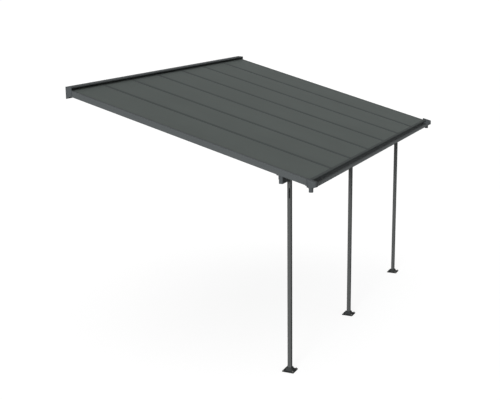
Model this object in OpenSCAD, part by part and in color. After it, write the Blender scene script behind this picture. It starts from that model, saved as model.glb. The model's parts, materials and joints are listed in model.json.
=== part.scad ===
/* [Roof] */
// Number of roof panels side by side
panel_count = 7; // [7:1:7]
// Distance between the middles of two rafters
rafter_pitch = 600; // [450:10:750]
// Fall of the roof in degrees
roof_slope = 15.38; // [10:0.01:19]
// Distance from the wall to the lower end of the panels
roof_reach = 2821; // [2000:1:3400]
// Height of the sheet plane at the wall, above the middle of the wall rail
sheet_rise = 39.5; // [36:0.1:43]
// Thickness of a roof panel
panel_t = 6; // [5:0.5:8]
// Thickness of the two skins of a panel
panel_skin = 0.9; // [0.6:0.1:1.2]
// Thickness of the ribs between the flutes
panel_rib = 0.9; // [0.6:0.1:1.5]
// Distance from flute to flute
flute_pitch = 16; // [12:1:24]
// Room between a panel edge and the cap legs or the side wall
panel_side_gap = 0.6; // [0.4:0.1:2]
// Thickness of the channel on the lower panel ends
trim_t = 1; // [0.8:0.1:1.5]
// Length of the lips of that channel
trim_lip = 12; // [8:1:20]

/* [Rafters] */
// Depth of a rafter under the sheet plane
rafter_depth = 62; // [56:1:66]
// Width of the cap strip and of the flange under the panels
flange_w = 46; // [38:1:54]
// Width of the hollow foot of a rafter
rafter_box_w = 24; // [16:1:30]
// Wall thickness of the rafter profiles
rafter_wall = 2; // [1.6:0.2:2.6]
// Thickness of the web between two panels
web_t = 3; // [2:0.5:4]
// Room between a panel and the cap strip over it
channel_gap = 0.4; // [0.2:0.1:0.8]
// Thickness of the cap strip
cap_t = 2.2; // [1.8:0.1:3]
// Thickness of the two legs that clip the strip to the web
cap_leg_t = 1.6; // [1.2:0.1:2]
// Length of these legs
cap_leg_len = 4.5; // [3:0.5:5]

/* [Side profiles] */
// Distance from the rafter grid out to the outer face
side_out = 28; // [26:1:40]
// Width of the top flange of the side profile
side_flange_w = 34; // [26:1:40]
// Width of the hollow box of the side profile
side_box_w = 24; // [18:1:26]
// Wall thickness of the side profile
side_wall = 2.4; // [2:0.2:3]

/* [Wall rail] */
// Height of the wall rail
rail_h = 132; // [128:1:150]
// Distance from the wall to the front lip of the rail
rail_reach = 76; // [70:1:88]
// Drop of the hood from the wall to the lip
hood_drop = 5; // [2:1:8]
// Height of the front lip
lip_h = 12; // [8:1:24]
// Wall thickness of the wall rail
rail_wall = 2.5; // [2:0.5:3]
// Length of the ledge under the rafters
ledge_len = 52; // [38:1:58]
// Thickness of the end caps of the rail
rail_cap_t = 5; // [3:0.5:8]
// Rim of these end caps past the lip of the rail
rail_cap_rim = 1; // [0.5:0.5:4]
// Height of the front edge of these end caps
rail_cap_front = 92; // [80:1:96]
// Length of the lower edge of these end caps
rail_cap_toe = 8; // [4:1:16]
// Radius of the holes for the wall screws
wall_hole_r = 4.5; // [3.5:0.25:5]
// Height of the wall screws above the lower edge of the rail
wall_hole_up = 12; // [9:0.5:14]

/* [Gutter] */
// Overhang of the panels past the eaves profile
gutter_overlap = 19; // [12:1:26]
// Length of the eaves profile's seat under the panel ends
seat_len = 14; // [8:1:16]
// Length of the eaves profile's ledge under the rafters
eaves_ledge = 24; // [14:1:40]
// Distance from the eaves profile to the tray's front edge
tray_w = 108; // [96:1:130]
// Height from the tray's back to its front edge
tray_rise = 15; // [12:1:24]
// Height of the fold on the front edge
tray_fold = 8; // [6:1:11]
// Wall thickness of tray and eaves profile
gutter_wall = 2.5; // [2:0.5:3]
// Length of an end cap along the gutter
end_cap_len = 50; // [50:1:64]
// Height of the end cap over the sheet plane
end_cap_up = 16; // [14:1:26]
// Lap of the end cap past the tray's front edge
end_cap_lap = 2; // [1:0.5:3]
// Wall thickness of an end cap
end_cap_wall = 3; // [2:0.5:4]
// Radius of the end cap's upright corners
end_cap_round = 30; // [12:1:36]
// Radius of the end cap's upper front edge
end_cap_edge = 20; // [8:1:22]
// Radius of the end cap's upper outer edge
end_cap_brow = 18; // [8:1:24]
// Radius of the end cap's lower outer edge
end_cap_belly = 24; // [8:1:26]
// Depth of the funnel under the tray's back
funnel_h = 12; // [8:1:16]
// Height of the funnel, which widens upwards by the same amount
funnel_rise = 26; // [20:1:30]
// Distance from the eaves profile to the middle of the spout
spout_back = 49; // [40:1:56]
// Outer radius of the spout
spout_r = 22.5; // [18:0.5:23]
// Length of the spout under the funnel
spout_len = 37; // [30:1:60]

/* [Beam] */
// Depth of the beam from front to back
beam_w = 40; // [36:1:50]
// Height of the beam
beam_h = 85; // [70:1:110]
// Wall thickness of the beam
beam_wall = 2; // [1.6:0.2:3]
// Distance from the roof's outer face in to the beam's end
beam_end_in = 28; // [27:1:60]
// Thickness of the caps on the beam ends
beam_cap_t = 3; // [2:0.5:5]
// Width of a rafter bracket
bracket_w = 22; // [16:1:24]
// Thickness of a rafter bracket
bracket_t = 3; // [2:0.5:4]
// Length of the legs of a rafter bracket
bracket_leg = 40; // [30:1:46]
// Length of a side bracket's leg on the side profile
side_bracket_leg = 24; // [20:1:40]
// Height of a side bracket over the beam's top
side_bracket_up = 36; // [30:1:44]

/* [Posts] */
// Distance from the panels' lower end back to the posts
post_setback = 313; // [250:1:900]
// Distance from the rafter grid's end to the middle of the outer posts
post_inset = 228; // [120:1:500]
// Height of the rail top over the ground
total_h = 2943; // [2700:1:3100]
// Width of a post
post_w = 40; // [36:1:44]
// Wall thickness of a post
post_wall = 2; // [1.6:0.2:2.4]
// Corner radius of a post
post_corner = 2.5; // [2.5:0.5:4]
// Length of the post head under the beam
head_len = 190; // [170:1:220]
// Length of the spigot inside the post
spigot_len = 70; // [50:1:100]
// Room between the spigot and the post
spigot_gap = 0.3; // [0.2:0.1:0.8]
// Width of the slot in the post head
head_slot_w = 15; // [8:1:16]
// Length of the slot over the joint
head_slot_len = 105; // [60:1:140]
// Distance from the middle of the head to the middle of the slot
head_slot_shift = 7; // [0:1:7]
// Height of the cheeks beside the beam
cheek_h = 44; // [30:1:60]
// Thickness of the cheeks and of the head's walls
cheek_t = 4; // [3:0.5:5]

/* [Feet] */
// Width of a foot plate
foot_w = 132; // [124:1:144]
// Thickness of a foot plate
foot_t = 8; // [6:1:12]
// Corner radius of a foot plate
foot_corner = 8; // [4:1:12]
// Width of the collar at its lower edge
collar_base_w = 78; // [70:1:80]
// Width of the collar at its upper edge
collar_top_w = 52; // [50:1:58]
// Height of the collar over the plate
collar_h = 34; // [24:1:50]
// Distance between two anchor holes
anchor_pitch = 104; // [96:1:108]
// Radius of the anchor holes
anchor_r = 4.5; // [3.5:0.25:5.5]
// Room between the post and its socket
socket_gap = 0.3; // [0.2:0.1:0.6]

/* [Hidden] */
$fn = 48;
tan_s = tan(roof_slope);
cos_s = cos(roof_slope);
half_w = panel_count * rafter_pitch / 2;
outer_x = half_w + side_out;
ground_z = rail_h / 2 - total_h;
sheet_len = roof_reach / cos_s;
post_x = half_w - post_inset;
post_reach = roof_reach - post_setback;
eaves_y = -roof_reach + gutter_overlap;
flange_n = panel_t + rafter_wall;
post_top = beam_bottom() - head_len;
beam_half = outer_x - beam_end_in - beam_cap_t;
flute_w = flute_pitch - panel_rib;
flute_h = panel_t - 2 * panel_skin;
eaves_foot = rafter_depth + gutter_wall * cos_s;
tray_back = eaves_y - gutter_wall;
tray_front = eaves_y - tray_w;
tray_low = sheet_rise + tray_back * tan_s - eaves_foot / cos_s;
tray_lip = tray_low + tray_rise;
spout_y = eaves_y - spout_back;
spout_top = tray_low - funnel_h;
trim_side_gap = 1;
funnel_shift = 1;
tray_steps = 12;
cut = 1;

// Height of the sheet plane at a distance from the wall
function sheet_z(y) = sheet_rise + y * tan_s;

// Height of a plane under the sheet plane and parallel to it
function under_z(y, depth) = sheet_z(y) - depth / cos_s;
function beam_top() = under_z(-post_reach - beam_w / 2, rafter_depth);
function beam_bottom() = beam_top() - beam_h;

// Places a drawing of the cross-section on the slope and draws it out down the roof
module down_roof(from, to) {
    translate([0, 0, sheet_rise])
        rotate([roof_slope, 0, 0])
            translate([0, -from, 0])
                rotate([90, 0, 0])
                    linear_extrude(to - from) children();
}

// Draws a side view out along the wall
module along_wall(from, to) {
    translate([from, 0, 0])
        rotate([90, 0, 90])
            linear_extrude(to - from) children();
}

module rounded_square(w, r) {
    square([w, w - 2 * r], center = true);
    square([w - 2 * r, w], center = true);
    for (x = [-1, 1], y = [-1, 1]) translate([x, y] * (w / 2 - r)) circle(r);
}

// Side view of the rail: back plate, hood with lip, sloped ledge
module rail_section() {
    top = rail_h / 2;
    tip = top - hood_drop;
    fall = hood_drop / rail_reach;
    hood_t = rail_wall / cos(atan(fall));
    lip_y = -rail_reach + rail_wall;
    inner = -rail_wall;
    ledge = rafter_depth + rail_wall;
    polygon([[0, top], [-rail_reach, tip], [-rail_reach, tip - lip_h], [lip_y, tip - lip_h],
        [lip_y, tip + rail_wall * fall - hood_t], [inner, top - rail_wall * fall - hood_t],
        [inner, under_z(inner, rafter_depth)], [-ledge_len, under_z(-ledge_len, rafter_depth)],
        [-ledge_len, under_z(-ledge_len, ledge)], [inner, under_z(inner, ledge)],
        [inner, -top], [0, -top]]);
}

module wall_rail() {
    color([0.27, 0.28, 0.28])
        difference() {
            along_wall(-outer_x, outer_x) rail_section();
            for (k = [1, 3, 5], x = [-1, 1])
                translate([x * k * rafter_pitch / 2, cut, wall_hole_up - rail_h / 2])
                    rotate([90, 0, 0]) cylinder(r = wall_hole_r, h = rail_wall + 2 * cut);
        }
}

module rail_cap() {
    top = rail_h / 2;
    tip = top - hood_drop;
    front = -rail_reach - rail_cap_rim;
    along_wall(outer_x, outer_x + rail_cap_t)
        polygon([[0, top], [-rail_reach, tip], [front, tip - rail_cap_rim], [front, tip - rail_cap_front],
            [-rail_cap_toe, -top], [0, -top]]);
}

// Cross-section of a rafter: web, flange under the panels and hollow foot
module rafter_section() {
    translate([-web_t / 2, -flange_n]) square([web_t, flange_n + channel_gap]);
    translate([-flange_w / 2, -flange_n]) square([flange_w, rafter_wall]);
}

module rafter_foot_section() {
    foot_h = rafter_depth - panel_t;
    difference() {
        translate([-rafter_box_w / 2, -rafter_depth]) square([rafter_box_w, foot_h]);
        translate([-rafter_box_w / 2 + rafter_wall, -rafter_depth + rafter_wall])
            square([rafter_box_w - 2 * rafter_wall, foot_h - 2 * rafter_wall]);
    }
}

// Rafter whose foot ends upright at the eaves profile
module rafter(i) {
    head = rafter_depth * tan_s + 2 * rail_wall;
    color([0.32, 0.34, 0.34])
        translate([-half_w + i * rafter_pitch, 0, 0]) {
            down_roof(head, sheet_len) rafter_section();
            difference() {
                down_roof(head, sheet_len) rafter_foot_section();
                translate([-flange_w, eaves_y - total_h, ground_z]) cube([2 * flange_w, total_h, total_h]);
            }
        }
}

// Flat strip with two legs that clip on the web
module cap_section() {
    translate([-flange_w / 2, channel_gap]) square([flange_w, cap_t]);
    for (side = [-1, 1])
        translate([side * (web_t + cap_leg_t) / 2 - cap_leg_t / 2, channel_gap - cap_leg_len])
            square([cap_leg_t, cap_leg_len + cap_t / 2]);
}

module cap_strip(i) {
    color([0.24, 0.25, 0.25])
        translate([-half_w + i * rafter_pitch, 0, 0])
            down_roof(2 * rail_wall, sheet_len) cap_section();
}

// Channel of the right side profile, from its outer face inwards
module side_channel_section() {
    translate([-side_wall, -flange_n]) square([side_wall, flange_n + channel_gap + cap_t]);
    translate([-side_flange_w, channel_gap]) square([side_flange_w, cap_t]);
    translate([-side_box_w, -flange_n]) square([side_box_w, rafter_wall]);
}

// Hollow box under this channel
module side_box_section() {
    box_h = rafter_depth - panel_t;
    difference() {
        translate([-side_box_w, -rafter_depth]) square([side_box_w, box_h]);
        translate([-side_box_w + side_wall, -rafter_depth + side_wall])
            square([side_box_w - 2 * side_wall, box_h - 2 * side_wall]);
    }
}

// Side profile, upright at the wall, its box upright at the eaves profile too
module side_profile() {
    room = 2 * side_flange_w;
    translate([outer_x, 0, 0])
        difference() {
            union() {
                down_roof(0, sheet_len) side_channel_section();
                difference() {
                    down_roof(0, sheet_len) side_box_section();
                    translate([-room, eaves_y - total_h, ground_z]) cube([2 * room, total_h, total_h]);
                }
            }
            translate([-room, -2 * rail_wall, ground_z]) cube([2 * room, total_h, 2 * total_h]);
        }
}

// Sheet between two rafters, or between a rafter and a side profile
module roof_panel(i) {
    room = web_t / 2 + cap_leg_t + panel_side_gap;
    edge = outer_x - side_wall - panel_side_gap;
    left = i == 0 ? -edge : -half_w + i * rafter_pitch + room;
    right = i == panel_count - 1 ? edge : -half_w + (i + 1) * rafter_pitch - room;
    count = floor((right - left - panel_rib) / flute_pitch);
    first = (right - left - count * flute_pitch + panel_rib) / 2;
    color([0.30, 0.32, 0.31])
        translate([left, 0, 0])
            down_roof(2 * panel_t, sheet_len)
                difference() {
                    translate([0, -panel_t]) square([right - left, panel_t]);
                    for (k = [0:count - 1])
                        translate([first + k * flute_pitch, -panel_t + panel_skin]) square([flute_w, flute_h]);
                }
}

// The thin channel that closes the lower ends of the flutes
module panel_trim(i) {
    clear = flange_w / 2 + trim_side_gap;
    edge = outer_x - side_flange_w - trim_side_gap;
    left = i == 0 ? -edge : -half_w + i * rafter_pitch + clear;
    right = i == panel_count - 1 ? edge : -half_w + (i + 1) * rafter_pitch - clear;
    translate([left, 0, 0])
        difference() {
            down_roof(sheet_len - trim_lip, sheet_len + trim_t)
                translate([0, -panel_t - trim_t]) square([right - left, panel_t + 2 * trim_t]);
            down_roof(sheet_len - trim_lip - cut, sheet_len)
                translate([-cut, -panel_t]) square([right - left + 2 * cut, panel_t]);
        }
}

module panel_trims() {
    color([0.26, 0.27, 0.27]) for (i = [0:panel_count - 1]) panel_trim(i);
}

// Side view of the profile that joins the rafter ends: seat, wall and ledge
module eaves_section() {
    t = gutter_wall;
    out = eaves_y - seat_len;
    in = eaves_y + eaves_ledge;
    polygon([[eaves_y, under_z(eaves_y, flange_n)], [out, under_z(out, flange_n)],
        [out, under_z(out, flange_n) - t], [tray_back, under_z(tray_back, flange_n) - t],
        [tray_back, tray_low], [in, under_z(in, eaves_foot)], [in, under_z(in, rafter_depth)],
        [eaves_y, under_z(eaves_y, rafter_depth)]]);
}

module eaves_profile() {
    color([0.28, 0.29, 0.29]) along_wall(-outer_x, outer_x) eaves_section();
}

// Side view of the tray: tongue under the eaves profile, curved floor and folded front edge
module gutter_section() {
    t = gutter_wall;
    in = eaves_y + eaves_ledge;
    run = tray_w - 2 * t;
    floor_points = [for (k = [0:tray_steps])
        [tray_back - run * k / tray_steps, tray_low + (tray_rise - t) * pow(k / tray_steps, 2)]];
    lower_points = [for (k = [tray_steps:-1:0]) floor_points[k] - [0, t]];
    polygon(concat([[in, under_z(in, eaves_foot)]], floor_points,
        [[tray_front + t, tray_lip], [tray_front, tray_lip], [tray_front, tray_lip - tray_fold],
            [tray_front + t, tray_lip - tray_fold]],
        lower_points, [[in, under_z(in, eaves_foot) - t]]));
}

module gutter() {
    color([0.33, 0.35, 0.35]) along_wall(-outer_x, outer_x) gutter_section();
}

// Side outline of the gutter end cap, drawn in by the amount given
module cap_outline(inset) {
    back = tray_back - inset;
    front = tray_front - end_cap_lap + inset;
    up = (end_cap_up - inset) / cos_s;
    r = end_cap_edge - inset;
    edge = [for (a = [0:15:90])
        [front + r - r * sin(a), sheet_z(front + r) + up - r + r * cos(a)]];
    polygon(concat([[back, tray_low - gutter_wall - end_cap_wall + inset], [back, sheet_z(back) + up]], edge,
        [[front, tray_lip - tray_fold - end_cap_lap + inset],
            [spout_y, tray_low - gutter_wall - end_cap_wall + inset]]));
}

// Outline of the gutter end cap seen from above
module cap_plan(from, to, inset) {
    depth = tray_back - tray_front + end_cap_lap - 2 * inset;
    r = end_cap_round - inset;
    translate([from, tray_front - end_cap_lap + inset]) {
        square([to - from - r, depth]);
        translate([0, r]) square([to - from, depth - 2 * r]);
        for (y = [r, depth - r]) translate([to - from - r, y]) circle(r);
    }
}

// Strip from the gutter to the cap's outer face, its far upper corner rounded
module cap_brow(from, to, top, r) {
    translate([from, top - total_h]) square([to - from - r, total_h]);
    translate([from, top - total_h]) square([to - from, total_h - r]);
    translate([to - r, top - r]) circle(r);
}

// Body of the cap: its side outline, with the outer edges rounded in plan, above and below
module cap_body(inset) {
    from = inset > 0 ? outer_x - cut : outer_x;
    to = outer_x + end_cap_len - inset;
    bottom = tray_low - gutter_wall - end_cap_wall + inset;
    intersection() {
        along_wall(from, to) cap_outline(inset);
        translate([0, 0, -total_h]) linear_extrude(total_h) cap_plan(from, to, inset);
        down_roof(0, 2 * sheet_len) cap_brow(from, to, end_cap_up - inset, end_cap_brow - inset);
        rotate([90, 0, 0])
            linear_extrude(2 * roof_reach) mirror([0, 1]) cap_brow(from, to, -bottom, end_cap_belly - inset);
    }
}

// Funnel that widens from the spout up into the cap
module cap_funnel(inset) {
    from = outer_x + inset;
    to = outer_x + end_cap_len - inset;
    intersection() {
        translate([outer_x + end_cap_len / 2, spout_y, spout_top])
            cylinder(r1 = spout_r - inset, r2 = spout_r - inset + funnel_rise, h = funnel_rise);
        translate([0, 0, -total_h]) linear_extrude(total_h) cap_plan(from, to, inset);
        translate([from + funnel_shift, -2 * roof_reach, -total_h]) cube([end_cap_len, 2 * roof_reach, total_h]);
    }
}

// Hollow end cap over the end of the gutter, open towards it, with funnel and spout
module gutter_cap() {
    difference() {
        union() {
            cap_body(0);
            cap_funnel(0);
            translate([outer_x + end_cap_len / 2, spout_y, spout_top - spout_len])
                cylinder(r = spout_r, h = spout_len);
        }
        cap_body(end_cap_wall);
        cap_funnel(end_cap_wall);
        translate([outer_x + end_cap_len / 2, spout_y, spout_top - spout_len - cut])
            cylinder(r = spout_r - end_cap_wall, h = spout_len + 2 * cut);
    }
}

module front_beam() {
    color([0.30, 0.32, 0.32])
        along_wall(-beam_half, beam_half)
            difference() {
                translate([-post_reach - beam_w / 2, beam_bottom()]) square([beam_w, beam_h]);
                translate([-post_reach - beam_w / 2 + beam_wall, beam_bottom() + beam_wall])
                    square([beam_w - 2 * beam_wall, beam_h - 2 * beam_wall]);
            }
}

module beam_cap() {
    along_wall(beam_half, beam_half + beam_cap_t)
        translate([-post_reach - beam_w / 2, beam_bottom()]) square([beam_w, beam_h]);
}

// Angle behind the beam, its upper leg under a rafter
module rafter_bracket() {
    back = -post_reach + beam_w / 2;
    far = back + bracket_leg;
    leg = rafter_depth + bracket_t * cos_s;
    along_wall(-bracket_w / 2, bracket_w / 2)
        polygon([[back, under_z(back, rafter_depth) - bracket_leg],
            [back + bracket_t, under_z(back, rafter_depth) - bracket_leg],
            [back + bracket_t, under_z(back + bracket_t, leg)], [far, under_z(far, leg)],
            [far, under_z(far, rafter_depth)], [back, under_z(back, rafter_depth)]]);
}

// Upright angle between the beam and the inner face of the side profile, longer on the beam
module side_bracket() {
    inner = outer_x - side_box_w;
    back = -post_reach + beam_w / 2;
    translate([inner - bracket_leg, back, beam_top() - bracket_leg])
        cube([bracket_leg, bracket_t, bracket_leg + side_bracket_up]);
    translate([inner - bracket_t, back, beam_top()])
        cube([bracket_t, side_bracket_leg, side_bracket_up]);
}

module rafter_brackets() {
    color([0.2, 0.21, 0.21]) {
        for (i = [1:panel_count - 1]) translate([-half_w + i * rafter_pitch, 0, 0]) rafter_bracket();
        side_bracket();
        mirror([1, 0, 0]) side_bracket();
    }
}

module post(x) {
    color([0.35, 0.36, 0.36])
        translate([x, -post_reach, ground_z + foot_t])
            linear_extrude(post_top - ground_z - foot_t)
                difference() {
                    rounded_square(post_w, post_corner);
                    square(post_w - 2 * post_wall, center = true);
                }
}

// Head of a post: spigot, slotted tube and a saddle round the beam
module post_head(x) {
    inner = post_w - 2 * post_wall - 2 * spigot_gap;
    cheek_w = beam_w + 2 * cheek_t;
    bore = inner - 2 * cheek_t;
    color([0.28, 0.29, 0.29])
        translate([x, -post_reach, post_top])
            difference() {
                union() {
                    translate([0, 0, -spigot_len])
                        linear_extrude(spigot_len + cheek_t) square(inner, center = true);
                    linear_extrude(head_len) rounded_square(post_w, post_corner);
                    translate([-post_w / 2, -cheek_w / 2, head_len - cheek_t])
                        cube([post_w, cheek_w, cheek_t + cheek_h]);
                }
                translate([-post_w, -beam_w / 2, head_len]) cube([2 * post_w, beam_w, cheek_h + cut]);
                translate([-bore / 2, -bore / 2, -spigot_len - cut])
                    cube([bore, bore, spigot_len + head_len - cheek_t + cut]);
                translate([-post_w, -head_slot_shift - head_slot_w / 2, 0])
                    cube([2 * post_w, head_slot_w, head_slot_len - head_slot_w / 2]);
                translate([-post_w, -head_slot_shift, head_slot_len - head_slot_w / 2])
                    rotate([0, 90, 0]) cylinder(r = head_slot_w / 2, h = 2 * post_w);
            }
}

module foot(x) {
    half = post_w / 2 + socket_gap;
    color([0.26, 0.27, 0.27])
        translate([x, -post_reach, ground_z])
            difference() {
                union() {
                    linear_extrude(foot_t) rounded_square(foot_w, foot_corner);
                    translate([0, 0, foot_t]) intersection() {
                        rotate([90, 0, 0]) linear_extrude(foot_w, center = true) collar_side();
                        rotate([90, 0, 90]) linear_extrude(foot_w, center = true) collar_side();
                    }
                }
                translate([-half, -half, foot_t]) cube([2 * half, 2 * half, collar_h + cut]);
                for (a = [-1, 1], b = [-1, 1])
                    translate([a * anchor_pitch / 2, b * anchor_pitch / 2, -cut])
                        cylinder(r = anchor_r, h = foot_t + 2 * cut);
            }
}

module collar_side() {
    polygon([[-collar_base_w / 2, 0], [collar_base_w / 2, 0],
        [collar_top_w / 2, collar_h], [-collar_top_w / 2, collar_h]]);
}

wall_rail();
color([0.3, 0.32, 0.32]) mirror([1, 0, 0]) rail_cap();  // rail_cap_left
color([0.3, 0.32, 0.32]) rail_cap();  // rail_cap_right
color([0.37, 0.39, 0.39]) mirror([1, 0, 0]) side_profile();  // side_profile_left
color([0.37, 0.39, 0.39]) side_profile();  // side_profile_right
rafter(1);  // rafter_1
rafter(2);  // rafter_2
rafter(3);  // rafter_3
rafter(4);  // rafter_4
rafter(5);  // rafter_5
rafter(6);  // rafter_6
cap_strip(1);  // cap_strip_1
cap_strip(2);  // cap_strip_2
cap_strip(3);  // cap_strip_3
cap_strip(4);  // cap_strip_4
cap_strip(5);  // cap_strip_5
cap_strip(6);  // cap_strip_6
roof_panel(0);  // roof_panel_1
roof_panel(1);  // roof_panel_2
roof_panel(2);  // roof_panel_3
roof_panel(3);  // roof_panel_4
roof_panel(4);  // roof_panel_5
roof_panel(5);  // roof_panel_6
roof_panel(6);  // roof_panel_7
panel_trims();
eaves_profile();
gutter();
color([0.36, 0.38, 0.38]) mirror([1, 0, 0]) gutter_cap();  // gutter_cap_left
color([0.36, 0.38, 0.38]) gutter_cap();  // gutter_cap_right
front_beam();
color([0.25, 0.26, 0.26]) mirror([1, 0, 0]) beam_cap();  // beam_cap_left
color([0.25, 0.26, 0.26]) beam_cap();  // beam_cap_right
rafter_brackets();
post(-post_x);  // post_left
post(0);  // post_middle
post(post_x);  // post_right
post_head(-post_x);  // post_head_left
post_head(0);  // post_head_middle
post_head(post_x);  // post_head_right
foot(-post_x);  // foot_left
foot(0);  // foot_middle
foot(post_x);  // foot_right
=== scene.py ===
import json
import math
import random

import bmesh
import bpy
from mathutils import Matrix, Vector


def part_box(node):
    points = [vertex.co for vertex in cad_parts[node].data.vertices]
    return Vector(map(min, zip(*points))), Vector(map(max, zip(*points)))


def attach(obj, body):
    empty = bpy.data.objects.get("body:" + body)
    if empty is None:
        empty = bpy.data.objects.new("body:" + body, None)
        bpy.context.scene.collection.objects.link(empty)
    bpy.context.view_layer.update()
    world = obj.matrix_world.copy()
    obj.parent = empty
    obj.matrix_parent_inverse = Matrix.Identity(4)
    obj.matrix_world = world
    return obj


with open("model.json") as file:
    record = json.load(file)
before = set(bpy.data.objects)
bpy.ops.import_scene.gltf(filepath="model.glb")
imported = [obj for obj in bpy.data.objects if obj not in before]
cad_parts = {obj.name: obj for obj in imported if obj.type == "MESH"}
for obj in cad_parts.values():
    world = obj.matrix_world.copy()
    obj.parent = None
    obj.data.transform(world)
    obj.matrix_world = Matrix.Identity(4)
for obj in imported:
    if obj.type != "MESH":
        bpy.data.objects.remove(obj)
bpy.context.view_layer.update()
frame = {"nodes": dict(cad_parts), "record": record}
nodes = frame["nodes"]
record = frame["record"]
mm = 0.001
print("patio cover: frame loaded,", len(nodes), "nodes")


# Sizes of the cover that the small parts share
roof = {
    "slope": math.radians(15.38),
    "sheetRise": 39.5 * mm,  # sheet plane over the origin, at the wall
    "pitch": 0.600,          # from rafter to rafter
    "rafterDepth": 62 * mm,  # under the sheet plane
    "rafters": 6,
}
plateT = 8 * mm  # foot plates

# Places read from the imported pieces
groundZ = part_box("foot_left")[0].z
postY = (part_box("post_middle")[0].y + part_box("post_middle")[1].y) / 2
postNames = ("left", "middle", "right")
postX = {n: (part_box("post_" + n)[0].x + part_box("post_" + n)[1].x) / 2 for n in postNames}
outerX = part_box("wall_rail")[1].x
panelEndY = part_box("roof_panel_1")[0].y
rafterX = [(i - (roof["rafters"] - 1) / 2) * roof["pitch"] for i in range(roof["rafters"])]
downRoof = Vector((0, -math.cos(roof["slope"]), -math.sin(roof["slope"])))
offRoof = Vector((0, -math.sin(roof["slope"]), math.cos(roof["slope"])))


# x across, then the way down the slope and the height off the sheet plane
def onRoof(x, along, off):
    return Vector((x, 0, roof["sheetRise"])) + downRoof * along + offRoof * off


# Way down the slope to a distance from the wall
def alongSlope(y):
    return -y / math.cos(roof["slope"])


# Height of the underside of the rafters at a distance from the wall
def rafterUnderZ(y):
    under = roof["rafterDepth"] / math.cos(roof["slope"])
    return roof["sheetRise"] + y * math.tan(roof["slope"]) - under


# Node helpers
def addNode(tree, kind, **settings):
    node = tree.nodes.new(kind)
    for key, value in settings.items():
        setattr(node, key, value)
    return node


# A new material, its node tree, its shader and the object coordinates
def startMaterial(name):
    mat = bpy.data.materials.new(name)
    mat.use_nodes = True
    tree = mat.node_tree
    shader = next(n for n in tree.nodes if n.type == "BSDF_PRINCIPLED")
    where = addNode(tree, "ShaderNodeTexCoord").outputs["Object"]
    return mat, tree, shader, where


def mixColours(tree, factor, first, second):
    mix = addNode(tree, "ShaderNodeMix", data_type="RGBA")
    tree.links.new(factor, mix.inputs["Factor"])
    for socket, value in ((mix.inputs[6], first), (mix.inputs[7], second)):
        if isinstance(value, bpy.types.NodeSocket):
            tree.links.new(value, socket)
        else:
            socket.default_value = (*value, 1)
    return mix.outputs[2]


def ramp(tree, source, low, high, fromValue=0.0, toValue=1.0):
    node = addNode(tree, "ShaderNodeMapRange")
    tree.links.new(source, node.inputs["Value"])
    node.inputs["From Min"].default_value = low
    node.inputs["From Max"].default_value = high
    node.inputs["To Min"].default_value = fromValue
    node.inputs["To Max"].default_value = toValue
    return node.outputs["Result"]


# The other input is a socket or a plain number
def compute(tree, operation, source, other):
    node = addNode(tree, "ShaderNodeMath", operation=operation)
    tree.links.new(source, node.inputs[0])
    if isinstance(other, bpy.types.NodeSocket):
        tree.links.new(other, node.inputs[1])
    else:
        node.inputs[1].default_value = other
    return node.outputs[0]


def noise(tree, where, scale, detail=2.0, rough=0.5, stretch=None):
    if stretch:
        mapping = addNode(tree, "ShaderNodeMapping")
        mapping.inputs["Scale"].default_value = stretch
        tree.links.new(where, mapping.inputs["Vector"])
        where = mapping.outputs["Vector"]
    node = addNode(tree, "ShaderNodeTexNoise")
    node.inputs["Scale"].default_value = scale
    node.inputs["Detail"].default_value = detail
    node.inputs["Roughness"].default_value = rough
    tree.links.new(where, node.inputs["Vector"])
    return node.outputs["Fac"]


def bump(tree, shader, height, distance, strength, under=None):
    node = addNode(tree, "ShaderNodeBump")
    node.inputs["Distance"].default_value = distance
    node.inputs["Strength"].default_value = strength
    tree.links.new(height, node.inputs["Height"])
    if under is not None:
        tree.links.new(under, node.inputs["Normal"])
    tree.links.new(node.outputs["Normal"], shader.inputs["Normal"])
    return node.outputs["Normal"]


def shade(colour, share):
    return tuple(c * share for c in colour)


noiseMiddle = (0.3, 0.7)  # where the values of a noise mostly lie

# Powder coat: fine grain, slight cloudiness, and dust that lies on upward faces
coat = {"roughness": (0.64, 0.78), "gloss": 0.012, "cloud": 0.05, "cloudScale": 2.3,
        "grainTone": 1.06, "grainScale": 900, "grainRange": (0.42, 0.58), "patchScale": 14,
        "patchRough": 0.62, "patchRange": (0.35, 0.7), "upwardRange": (0.3, 1.0),
        "dustColour": (0.16, 0.155, 0.145)}


def powderCoat(name, colour, dust):
    mat, tree, shader, where = startMaterial(name)
    cloudy = noise(tree, where, coat["cloudScale"], detail=3.0)
    base = mixColours(tree, ramp(tree, cloudy, *noiseMiddle),
                      shade(colour, 1 - coat["cloud"]), shade(colour, 1 + coat["cloud"]))
    grain = noise(tree, where, coat["grainScale"], detail=1.0)
    base = mixColours(tree, ramp(tree, grain, *coat["grainRange"]),
                      base, shade(colour, coat["grainTone"]))
    normal = addNode(tree, "ShaderNodeSeparateXYZ")
    tree.links.new(addNode(tree, "ShaderNodeNewGeometry").outputs["Normal"], normal.inputs[0])
    upward = ramp(tree, normal.outputs["Z"], *coat["upwardRange"], 0.0, dust)
    patchy = noise(tree, where, coat["patchScale"], detail=4.0, rough=coat["patchRough"])
    lying = compute(tree, "MULTIPLY", upward, ramp(tree, patchy, *coat["patchRange"]))
    base = mixColours(tree, lying, base, coat["dustColour"])
    tree.links.new(base, shader.inputs["Base Color"])
    rough = ramp(tree, patchy, *noiseMiddle, *coat["roughness"])
    tree.links.new(rough, shader.inputs["Roughness"])
    shader.inputs["Specular IOR Level"].default_value = coat["gloss"]
    bump(tree, shader, grain, distance=0.12 * mm, strength=0.35)
    return mat


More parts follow.
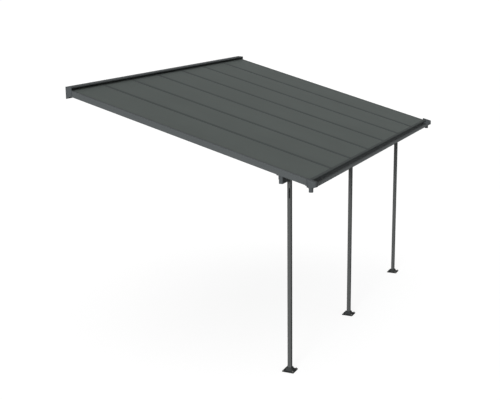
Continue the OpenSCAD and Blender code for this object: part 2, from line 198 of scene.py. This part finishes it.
# Twin-wall sheet: the ribs show faintly through the skin, and dust washes down the slope
sheet = {"flutePitch": 16 * mm, "ribWidth": 0.9 * mm, "ribTone": 0.84, "ribShow": 0.45,
         "ribRange": (0.40, 0.5), "cloud": 0.04, "cloudScale": 1.7,
         "streakStretch": (38, 1.6, 1.6), "streakShow": 0.10, "streakRange": (0.45, 0.75),
         "streakColour": (0.19, 0.19, 0.175), "roughness": (0.62, 0.70), "gloss": 0.03,
         "grainScale": 420}


def firstRibOf(name):
    low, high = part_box(name)
    count = math.floor((high.x - low.x - sheet["ribWidth"]) / sheet["flutePitch"])
    return low.x + (high.x - low.x - count * sheet["flutePitch"]) / 2


def sheetPlastic(name, colour, firstRib):
    mat, tree, shader, where = startMaterial(name)
    pitch = sheet["flutePitch"]
    split = addNode(tree, "ShaderNodeSeparateXYZ")
    tree.links.new(where, split.inputs[0])
    fromFirst = compute(tree, "SUBTRACT", split.outputs["X"], firstRib - pitch / 2)
    wrapped = compute(tree, "PINGPONG", fromFirst, pitch / 2)
    rib = ramp(tree, wrapped, *[pitch * share for share in sheet["ribRange"]])
    streaks = noise(tree, where, 1.0, detail=4.0, rough=0.6, stretch=sheet["streakStretch"])
    cloudy = noise(tree, where, sheet["cloudScale"], detail=3.0)
    base = mixColours(tree, ramp(tree, cloudy, *noiseMiddle),
                      shade(colour, 1 - sheet["cloud"]), shade(colour, 1 + sheet["cloud"]))
    faint = compute(tree, "MULTIPLY", rib, sheet["ribShow"])
    base = mixColours(tree, faint, base, shade(colour, sheet["ribTone"]))
    washed = ramp(tree, streaks, *sheet["streakRange"], 0.0, sheet["streakShow"])
    base = mixColours(tree, washed, base, sheet["streakColour"])
    tree.links.new(base, shader.inputs["Base Color"])
    rough = ramp(tree, streaks, *noiseMiddle, *sheet["roughness"])
    tree.links.new(rough, shader.inputs["Roughness"])
    shader.inputs["Specular IOR Level"].default_value = sheet["gloss"]
    ribNormal = bump(tree, shader, rib, distance=0.2 * mm, strength=0.25)
    grain = noise(tree, where, sheet["grainScale"], detail=1.0)
    bump(tree, shader, grain, distance=0.05 * mm, strength=0.3, under=ribNormal)
    return mat


# Moulded plastic of the end caps and feet, with a fine spark-eroded grain
mould = {"roughness": (0.63, 0.75), "gloss": 0.02, "cloud": 0.05, "cloudScale": 9,
         "grainTone": 0.93, "grainScale": 1300, "grainRange": (0.1, 0.6)}


def mouldedPlastic(name, colour):
    mat, tree, shader, where = startMaterial(name)
    cloudy = noise(tree, where, mould["cloudScale"])
    base = mixColours(tree, ramp(tree, cloudy, *noiseMiddle),
                      shade(colour, 1 - mould["cloud"]), shade(colour, 1 + mould["cloud"]))
    cells = addNode(tree, "ShaderNodeTexVoronoi")
    cells.inputs["Scale"].default_value = mould["grainScale"]
    tree.links.new(where, cells.inputs["Vector"])
    grain = cells.outputs["Distance"]
    base = mixColours(tree, ramp(tree, grain, *mould["grainRange"]),
                      shade(colour, mould["grainTone"]), base)
    tree.links.new(base, shader.inputs["Base Color"])
    rough = ramp(tree, cloudy, *noiseMiddle, *mould["roughness"])
    tree.links.new(rough, shader.inputs["Roughness"])
    shader.inputs["Specular IOR Level"].default_value = mould["gloss"]
    bump(tree, shader, grain, distance=0.08 * mm, strength=0.4)
    return mat


# Zinc-plated steel of the fasteners, with the spangle's slight change of tone
plating = {"darkTone": 0.8, "toneScale": 160, "grainScale": 1100, "roughness": (0.32, 0.46),
           "metallic": 0.9}


def zincSteel(name, colour):
    mat, tree, shader, where = startMaterial(name)
    tone = noise(tree, where, plating["toneScale"])
    base = mixColours(tree, ramp(tree, tone, *noiseMiddle),
                      shade(colour, plating["darkTone"]), colour)
    tree.links.new(base, shader.inputs["Base Color"])
    rough = ramp(tree, tone, *noiseMiddle, *plating["roughness"])
    tree.links.new(rough, shader.inputs["Roughness"])
    shader.inputs["Metallic"].default_value = plating["metallic"]
    grain = noise(tree, where, plating["grainScale"], detail=1.0)
    bump(tree, shader, grain, distance=0.04 * mm, strength=0.3)
    return mat


# Black rubber of the seals
sealLook = {"dark": (0.012, 0.012, 0.012), "light": (0.022, 0.022, 0.022), "toneScale": 60,
            "roughness": (0.6, 0.75)}


def sealRubber(name):
    mat, tree, shader, where = startMaterial(name)
    tone = noise(tree, where, sealLook["toneScale"], detail=3.0)
    base = mixColours(tree, ramp(tree, tone, *noiseMiddle), sealLook["dark"], sealLook["light"])
    tree.links.new(base, shader.inputs["Base Color"])
    rough = ramp(tree, tone, *noiseMiddle, *sealLook["roughness"])
    tree.links.new(rough, shader.inputs["Roughness"])
    bump(tree, shader, tone, distance=0.1 * mm, strength=0.3)
    return mat


finish = {
    "profileGrey": (0.090, 0.098, 0.100),
    "stripGrey": (0.074, 0.083, 0.082),
    "sheetGrey": (0.102, 0.116, 0.110),
    "mouldingGrey": (0.082, 0.090, 0.094),
    "postGrey": (0.090, 0.094, 0.093),
    # Painted light: the gutter and eaves profile share the profiles' coat, and this grey is that
    # coat painted about 1.45 times lighter to stand in for light in the trough
    "paintedLightGutterGrey": (0.132, 0.142, 0.144),
    "bracketGrey": (0.045, 0.048, 0.048),
    "zinc": (0.30, 0.30, 0.29),
    "darkZinc": (0.075, 0.08, 0.08),
}
profileCoat = powderCoat("profileCoat", finish["profileGrey"], dust=0.10)
# Painted light: a lighter copy of the profile coat for the gutter and eaves profile
paintedLightGutterCoat = powderCoat("paintedLightGutterCoat", finish["paintedLightGutterGrey"], dust=0.05)
stripCoat = powderCoat("stripCoat", finish["stripGrey"], dust=0.06)
railCoat = powderCoat("railCoat", finish["profileGrey"], dust=0.06)
postCoat = powderCoat("postCoat", finish["postGrey"], dust=0.04)
bracketCoat = powderCoat("bracketCoat", finish["bracketGrey"], dust=0.03)
moulding = mouldedPlastic("mouldedPlastic", finish["mouldingGrey"])
footMoulding = mouldedPlastic("footMoulding", finish["bracketGrey"])
zinc = zincSteel("zincSteel", finish["zinc"])
darkZinc = zincSteel("darkZinc", finish["darkZinc"])
rubber = sealRubber("sealRubber")


def finishOf(name):
    if name.startswith("roof_panel"):
        return sheetPlastic("sheet_" + name[-1], finish["sheetGrey"], firstRibOf(name))
    if name.startswith("cap_strip") or name == "panel_trims":
        return stripCoat
    if name.startswith(("rail_cap", "gutter_cap", "beam_cap")):
        return moulding
    if name.startswith("foot"):
        return footMoulding
    if name.startswith("post_"):
        return postCoat
    if name == "rafter_brackets":
        return bracketCoat
    if name == "wall_rail":
        return railCoat
    # The gutter and eaves profile get the lighter copy of the profile coat, with painted light
    if name in ("gutter", "eaves_profile"):
        return paintedLightGutterCoat
    return profileCoat


for name, piece in nodes.items():
    piece.data.materials.clear()
    piece.data.materials.append(finishOf(name))
print("patio cover: finishes set")


# Meshes of the small parts
def newPiece(name, mesh, material):
    piece = bpy.data.objects.new(name, mesh)
    bpy.context.scene.collection.objects.link(piece)
    piece.data.materials.append(material)
    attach(piece, "root")


def smoothMesh(bm, name, angle=35):
    bmesh.ops.recalc_face_normals(bm, faces=bm.faces)
    mesh = bpy.data.meshes.new(name)
    bm.to_mesh(mesh)
    bm.free()
    mesh.shade_smooth()
    mesh.set_sharp_from_angle(angle=math.radians(angle))
    return mesh


# Stands a fastener on a face that looks along axis, turned about that axis
def placeOf(at, axis, turn):
    lean = Vector((0, 0, 1)).rotation_difference(Vector(axis)).to_matrix().to_4x4()
    return Matrix.Translation(at) @ lean @ Matrix.Rotation(turn, 4, "Z")


# Rings at (radius, height) pairs, closed at both ends, moved to place
def lathe(bm, profile, place, segments=24):
    angles = [2 * math.pi * k / segments for k in range(segments)]
    rings = []
    for radius, height in profile:
        ring = []
        for angle in angles:
            point = Vector((radius * math.cos(angle), radius * math.sin(angle), height))
            ring.append(bm.verts.new(place @ point))
        rings.append(ring)
    for lower, upper in zip(rings, rings[1:]):
        for k in range(segments):
            n = (k + 1) % segments
            bm.faces.new((lower[k], lower[n], upper[n], upper[k]))
    bm.faces.new(list(reversed(rings[0])))
    bm.faces.new(rings[-1])


# A bar between two like outlines, each a list of points
def bar(bm, first, last):
    rings = [[bm.verts.new(point) for point in outline] for outline in (first, last)]
    for k in range(len(first)):
        n = (k + 1) % len(first)
        bm.faces.new((rings[0][k], rings[0][n], rings[1][n], rings[1][k]))
    bm.faces.new(list(reversed(rings[0])))
    bm.faces.new(rings[1])


# Shares of the washer's radius and height at its broken edge, and of the head's flats
boltShape = {"edgeR": 0.97, "edgeH": 0.8, "washerIn": 0.45, "headTop": 0.46}


# Hexagon head with a chamfered top, on a washer
def hexBolt(bm, at, axis, size, turn):
    place = placeOf(at, axis, turn)
    r, h, flats = size["washerR"], size["washerH"], size["flats"]
    corner = flats / math.sqrt(3)
    top = h + size["headH"]
    washer = [(r, 0), (r, h * boltShape["edgeH"]), (r * boltShape["edgeR"], h),
              (flats * boltShape["washerIn"], h)]
    lathe(bm, washer, place)
    head = [(corner, h), (corner, top - size["chamfer"]), (flats * boltShape["headTop"], top)]
    lathe(bm, head, place, segments=6)


# Low round head with a round recess, as shares of the head's radius and height
panShape = [(1, 0), (1, 0.35), (0.93, 0.68), (0.72, 0.92), (0.42, 1), (0.40, 0.55), (0.10, 0.35)]


def panScrew(bm, at, axis, size, turn):
    profile = [(size["headR"] * r, size["headH"] * h) for r, h in panShape]
    lathe(bm, profile, placeOf(at, axis, turn))


def mountsNamed(start):
    return [mount for mount in record["mounts"] if mount["name"].startswith(start)]


# Screws through the rail's back plate into the wall
wallScrews = {"washerR": 8 * mm, "washerH": 1.6 * mm, "flats": 13 * mm, "headH": 5.3 * mm,
              "chamfer": 0.8 * mm, "plateFaceY": -2.5 * mm, "seed": 11}


def makeWallScrews():
    chance = random.Random(wallScrews["seed"])
    bm = bmesh.new()
    for mount in mountsNamed("wall_screws"):
        half = mount["dims"]["spacing_x_mm"] * mm / 2
        for side in (-1, 1):
            at = Vector((side * half, wallScrews["plateFaceY"], mount["pos_m"][2]))
            hexBolt(bm, at, (0, -1, 0), wallScrews, chance.uniform(0, 1))
    newPiece("wall_screws", smoothMesh(bm, "wallScrews"), zinc)


# Anchors on the foot plates, each with its stud through the nut
groundAnchors = {"washerR": 8 * mm, "washerH": 1.6 * mm, "flats": 13 * mm, "headH": 6.5 * mm,
                 "chamfer": 0.8 * mm, "studR": 4 * mm, "studOver": 7 * mm, "studTip": 1 * mm,
                 "tipShare": 0.8, "studFrom": 0.5, "seed": 5}


def makeGroundAnchors():
    chance = random.Random(groundAnchors["seed"])
    bm = bmesh.new()
    r = groundAnchors["studR"]
    top = groundAnchors["washerH"] + groundAnchors["headH"]
    over = top + groundAnchors["studOver"]
    stud = [(r, top * groundAnchors["studFrom"]), (r, over - groundAnchors["studTip"]),
            (r * groundAnchors["tipShare"], over)]
    for mount in mountsNamed("anchors"):
        x, y = mount["pos_m"][:2]
        half = mount["dims"]["spacing_x_mm"] * mm / 2
        for across in (-half, half):
            for along in (-half, half):
                at = Vector((x + across, y + along, groundZ + plateT))
                hexBolt(bm, at, (0, 0, 1), groundAnchors, chance.uniform(0, 1))
                lathe(bm, stud, Matrix.Translation(at), segments=16)
    newPiece("ground_anchors", smoothMesh(bm, "groundAnchors"), zinc)


makeWallScrews()
makeGroundAnchors()
print("patio cover: fasteners made")


# Rubber lips that look out from under the edges of the cap strips and of the side flanges
sealLips = {"stripHalf": 23 * mm, "sideFlange": 34 * mm, "out": 2.4 * mm, "inside": 3 * mm,
            "top": 1.3 * mm, "ridge": 0.2 * mm, "root": 0.38 * mm, "shoulder": (0.7, 0.55),
            "start": 60 * mm, "endGap": 1 * mm}


def makeSealLips():
    bm = bmesh.new()
    out, inside, top = sealLips["out"], sealLips["inside"], sealLips["top"]
    shoulderOut, shoulderUp = sealLips["shoulder"]
    reach = (sealLips["start"], alongSlope(panelEndY) - sealLips["endGap"])
    edges = [(x + side * sealLips["stripHalf"], side) for x in rafterX for side in (-1, 1)]
    edges += [(side * (outerX - sealLips["sideFlange"]), -side) for side in (-1, 1)]
    for x, side in edges:
        section = [(-side * inside, 0.0), (side * out, 0.0),
                   (side * out * shoulderOut, top * shoulderUp),
                   (side * sealLips["ridge"], top), (-side * inside, sealLips["root"])]
        bar(bm, *[[onRoof(x + across, along, off) for across, off in section] for along in reach])
    newPiece("seal_lips", smoothMesh(bm, "sealLips", angle=25), rubber)


# Folded drip edge on the ends of the sheets, its nose over the gutter
dripEdge = {"nose": 19 * mm, "thick": 1.2 * mm, "down": 7 * mm, "lipDown": 4 * mm,
            "top": 1 * mm, "behind": 1 * mm, "endGap": 3 * mm}


def makeDripEdge():
    bm = bmesh.new()
    t, top = dripEdge["thick"], dripEdge["top"]
    start = alongSlope(panelEndY) + dripEdge["behind"]
    out = start + dripEdge["nose"]
    lip = top - dripEdge["lipDown"]
    # Along the slope and off the sheet plane: over the top, round the nose, back under, down
    section = [(start, top), (out - 1.5 * t, top), (out - 0.4 * t, top - 0.5 * t),
               (out, top - 1.5 * t), (out, lip), (out - t, lip), (out - t, top - 2 * t),
               (out - 2 * t, top - t), (start + t, top - t), (start + t, -dripEdge["down"]),
               (start, -dripEdge["down"])]
    side = outerX - dripEdge["endGap"]
    bar(bm, *[[onRoof(x, along, off) for along, off in section] for x in (-side, side)])
    newPiece("drip_edge", smoothMesh(bm, "dripEdge", angle=25), stripCoat)


makeSealLips()
makeDripEdge()
print("patio cover: seals and drip edge made")


# Sizes of the beam, its brackets and the post heads, where the pan-head screws sit
joint = {
    "beamHalfW": 20 * mm,       # front to back
    "beamH": 85 * mm,
    "beamTop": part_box("front_beam")[1].z,
    "bracketT": 3 * mm,
    "bracketLeg": 40 * mm,
    "sideBoxW": 24 * mm,        # from the outer face to the side profile's inner face
    "sideBracketLeg": 24 * mm,
    "cheekT": 4 * mm,
    "cheekUp": 44 * mm,         # of the post heads, over the beam's underside
    "postHalfW": 20 * mm,
    "postJointZ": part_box("post_left")[1].z,
}

# Screws of the angle brackets, placed by shares of a bracket's leg
bracketScrews = {"headR": 4.2 * mm, "headH": 2.6 * mm, "aside": 6 * mm, "down": 0.62,
                 "along": 0.66, "sideIn": 0.6, "sideDown": (0.3, 0.7), "sideAlong": 0.6,
                 "sideUp": 27 * mm, "seed": 23}


def makeBracketScrews():
    chance = random.Random(bracketScrews["seed"])
    bm = bmesh.new()
    back = postY + joint["beamHalfW"]
    t, leg = joint["bracketT"], joint["bracketLeg"]
    y = back + leg * bracketScrews["along"]
    for x in rafterX:
        for side in (-1, 1):
            across = x + side * bracketScrews["aside"]
            at = Vector((across, back + t, rafterUnderZ(back) - leg * bracketScrews["down"]))
            panScrew(bm, at, (0, 1, 0), bracketScrews, chance.uniform(0, 1))
            at = Vector((across, y, rafterUnderZ(y))) - offRoof * t
            panScrew(bm, at, -offRoof, bracketScrews, chance.uniform(0, 1))
    inner = outerX - joint["sideBoxW"]
    sideY = back + joint["sideBracketLeg"] * bracketScrews["sideAlong"]
    for side in (-1, 1):
        across = side * (inner - leg * bracketScrews["sideIn"])
        for down in bracketScrews["sideDown"]:
            at = Vector((across, back + t, joint["beamTop"] - leg * down))
            panScrew(bm, at, (0, 1, 0), bracketScrews, chance.uniform(0, 1))
        at = Vector((side * (inner - t), sideY, joint["beamTop"] + bracketScrews["sideUp"]))
        panScrew(bm, at, (-side, 0, 0), bracketScrews, chance.uniform(0, 1))
    newPiece("bracket_screws", smoothMesh(bm, "bracketScrews"), zinc)


# Two screws in each cheek of a post head, and one below in the post
postScrews = {"headR": 4.2 * mm, "headH": 2.6 * mm, "aside": 11 * mm, "cheekShare": 0.6,
              "down": 32 * mm, "seed": 24}


def makePostScrews():
    chance = random.Random(postScrews["seed"])
    bm = bmesh.new()
    bottom = joint["beamTop"] - joint["beamH"]
    cheekZ = bottom + joint["cheekUp"] * postScrews["cheekShare"]
    postZ = joint["postJointZ"] - postScrews["down"]
    for name in postNames:
        for side in (-1, 1):
            cheekY = postY + side * (joint["beamHalfW"] + joint["cheekT"])
            for across in (-1, 1):
                at = Vector((postX[name] + across * postScrews["aside"], cheekY, cheekZ))
                panScrew(bm, at, (0, side, 0), postScrews, chance.uniform(0, 1))
            at = Vector((postX[name], postY + side * joint["postHalfW"], postZ))
            panScrew(bm, at, (0, side, 0), postScrews, chance.uniform(0, 1))
    newPiece("post_screws", smoothMesh(bm, "postScrews"), darkZinc)


# Screws up through the tray's tongue into the eaves profile, beside each rafter and at each end
gutterScrews = {"headR": 4.2 * mm, "headH": 2.6 * mm, "back": 12 * mm, "ledgeT": 2.5 * mm,
                "tongueT": 2.5 * mm, "aside": 60 * mm, "seed": 31}


def makeGutterScrews():
    chance = random.Random(gutterScrews["seed"])
    bm = bmesh.new()
    aside = gutterScrews["aside"]
    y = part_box("gutter")[1].y - gutterScrews["back"]
    z = rafterUnderZ(y) - gutterScrews["ledgeT"] - gutterScrews["tongueT"]
    for x in [-outerX + aside] + [x + aside for x in rafterX] + [outerX - aside]:
        panScrew(bm, Vector((x, y, z)), -offRoof, gutterScrews, chance.uniform(0, 1))
    newPiece("gutter_screws", smoothMesh(bm, "gutterScrews"), darkZinc)


makeBracketScrews()
makePostScrews()
makeGutterScrews()
print("patio cover: screws made")


# Floor, white for the camera, plain grey for the light that it throws back
stageLook = {"floorRadius": 600.0, "floorSides": 96, "floorGap": 0.4 * mm, "floorGrey": 0.30,
             "floorWhite": 0.28, "floorGlow": 0.84, "skyGrey": 0.32, "skyWhite": 1.0}
lamps = {
    "key": {"from": (-1.0, -0.10, 0.16), "strength": 2.75, "angle": 17.0},
    "top": {"from": (-0.15, -0.20, 1.0), "strength": 0.80, "angle": 70.0},
}


# 1 for rays from the camera and for those that metal or glass sends on
def seenByCamera(tree):
    path = addNode(tree, "ShaderNodeLightPath")
    seen = path.outputs["Is Camera Ray"]
    for ray in ("Is Glossy Ray", "Is Transmission Ray"):
        seen = compute(tree, "MAXIMUM", seen, path.outputs[ray])
    return seen


def diffuse(tree, grey):
    node = addNode(tree, "ShaderNodeBsdfDiffuse")
    node.inputs["Color"].default_value = (grey, grey, grey, 1)
    return node.outputs[0]


def mixShaders(tree, factor, first, second):
    mix = addNode(tree, "ShaderNodeMixShader")
    for socket, source in zip(mix.inputs, (factor, first, second)):
        tree.links.new(source, socket)
    return mix.outputs[0]


# Seen from below, the floor is clear
def floorPaper():
    mat = bpy.data.materials.new("floorPaper")
    mat.use_nodes = True
    tree = mat.node_tree
    tree.nodes.clear()
    glow = addNode(tree, "ShaderNodeEmission")
    glow.inputs["Strength"].default_value = stageLook["floorGlow"]
    lit = addNode(tree, "ShaderNodeAddShader")
    tree.links.new(diffuse(tree, stageLook["floorWhite"]), lit.inputs[0])
    tree.links.new(glow.outputs[0], lit.inputs[1])
    plain = diffuse(tree, stageLook["floorGrey"])
    shown = mixShaders(tree, seenByCamera(tree), plain, lit.outputs[0])
    below = addNode(tree, "ShaderNodeNewGeometry").outputs["Backfacing"]
    clear = addNode(tree, "ShaderNodeBsdfTransparent").outputs[0]
    out = addNode(tree, "ShaderNodeOutputMaterial")
    tree.links.new(mixShaders(tree, below, shown, clear), out.inputs["Surface"])
    return mat


def makeFloor():
    bm = bmesh.new()
    bmesh.ops.create_circle(bm, cap_ends=True, segments=stageLook["floorSides"],
                            radius=stageLook["floorRadius"])
    mesh = bpy.data.meshes.new("floor")
    bm.to_mesh(mesh)
    bm.free()
    floor = bpy.data.objects.new("floor", mesh)
    bpy.context.scene.collection.objects.link(floor)
    floor.location = (0, 0, groundZ - stageLook["floorGap"])
    floor.data.materials.append(floorPaper())


def background(tree, strength):
    node = addNode(tree, "ShaderNodeBackground")
    node.inputs["Color"].default_value = (1, 1, 1, 1)
    node.inputs["Strength"].default_value = strength
    return node.outputs[0]


def makeSky():
    world = bpy.data.worlds.new("studio")
    bpy.context.scene.world = world
    world.use_nodes = True
    tree = world.node_tree
    tree.nodes.clear()
    soft = background(tree, stageLook["skyGrey"])
    white = background(tree, stageLook["skyWhite"])
    out = addNode(tree, "ShaderNodeOutputWorld")
    sky = mixShaders(tree, seenByCamera(tree), soft, white)
    tree.links.new(sky, out.inputs["Surface"])


def makeLamp(name, look):
    lamp = bpy.data.lights.new(name, "SUN")
    lamp.energy = look["strength"]
    lamp.angle = math.radians(look["angle"])
    sun = bpy.data.objects.new(name, lamp)
    bpy.context.scene.collection.objects.link(sun)
    sun.visible_glossy = False  # soft light only, no glare along the low key light
    sun.rotation_mode = "QUATERNION"
    sun.rotation_quaternion = Vector(look["from"]).to_track_quat("Z", "Y")


makeFloor()
makeSky()
for name, look in lamps.items():
    makeLamp(name, look)

camera = {"place": (-10.4066, -6.1039, 1.1760), "turn": (76.691, 0.646, -64.808),
          "lens": 67.353, "sensor": 36.0, "farEnd": 900}


def makeCamera():
    data = bpy.data.cameras.new("photoCamera")
    data.lens = camera["lens"]
    data.sensor_width = camera["sensor"]
    data.clip_end = camera["farEnd"]
    seen = bpy.data.objects.new("photoCamera", data)
    bpy.context.scene.collection.objects.link(seen)
    seen.location = camera["place"]
    seen.rotation_euler = [math.radians(a) for a in camera["turn"]]
    bpy.context.scene.camera = seen


makeCamera()
bpy.context.scene.view_settings.view_transform = "Standard"
print("patio cover: stage, light and camera set")
